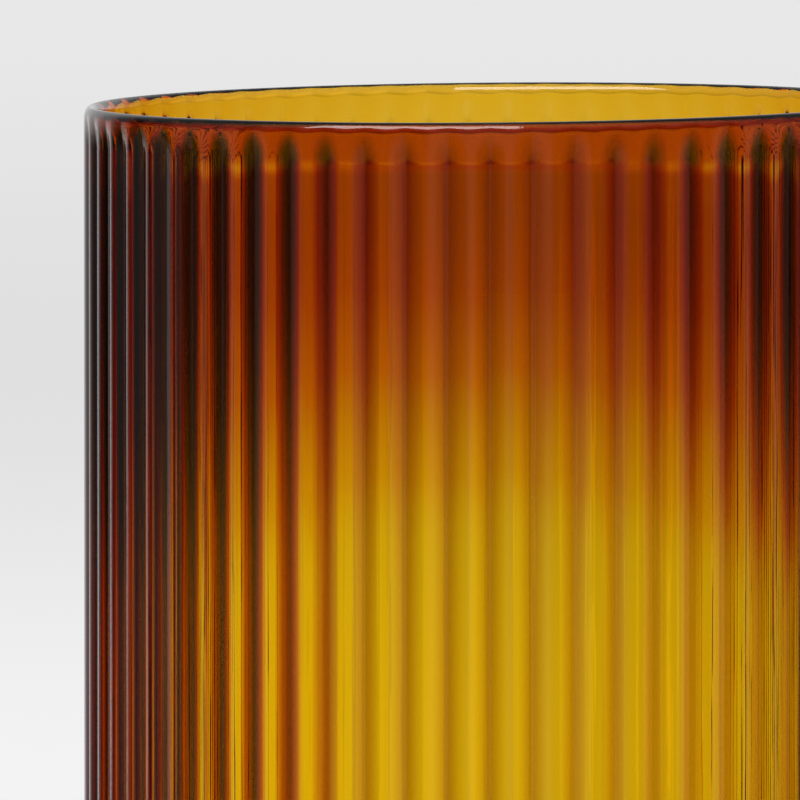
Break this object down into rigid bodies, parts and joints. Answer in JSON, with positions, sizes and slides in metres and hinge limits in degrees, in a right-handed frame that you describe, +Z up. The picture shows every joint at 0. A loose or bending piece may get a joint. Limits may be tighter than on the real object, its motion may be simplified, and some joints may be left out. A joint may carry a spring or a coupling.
{
  "type": "ribbed glass cylinder vase",
  "caption": "Tall straight vase of hand blown amber glass with fine upright ribs, a rounded fire polished lip, a brown band fading down into amber, and a thick base on a ground foot ring.",
  "frame": {"origin": "on the surface it stands on, under the middle of the vase", "axes": "+Z up along the middle of the vase; the rim's high side is at +X"},
  "size_m": [0.152, 0.152, 0.254],
  "materials": {
    "brown_glass": "fire polished, clear, smoky brown in the glass",
    "fading_glass": "mould blown, clear, brown fading to amber",
    "amber_glass": "mould blown, clear amber",
    "ground_glass": "amber glass, ground flat and left matt"
  },
  "bodies": {
    "root": {"lip": "brown_glass", "brown_wall": "brown_glass", "fading_wall": "fading_glass", "amber_wall": "amber_glass", "base": "amber_glass", "foot_ring": "ground_glass"}
  },
  "joints": []
}
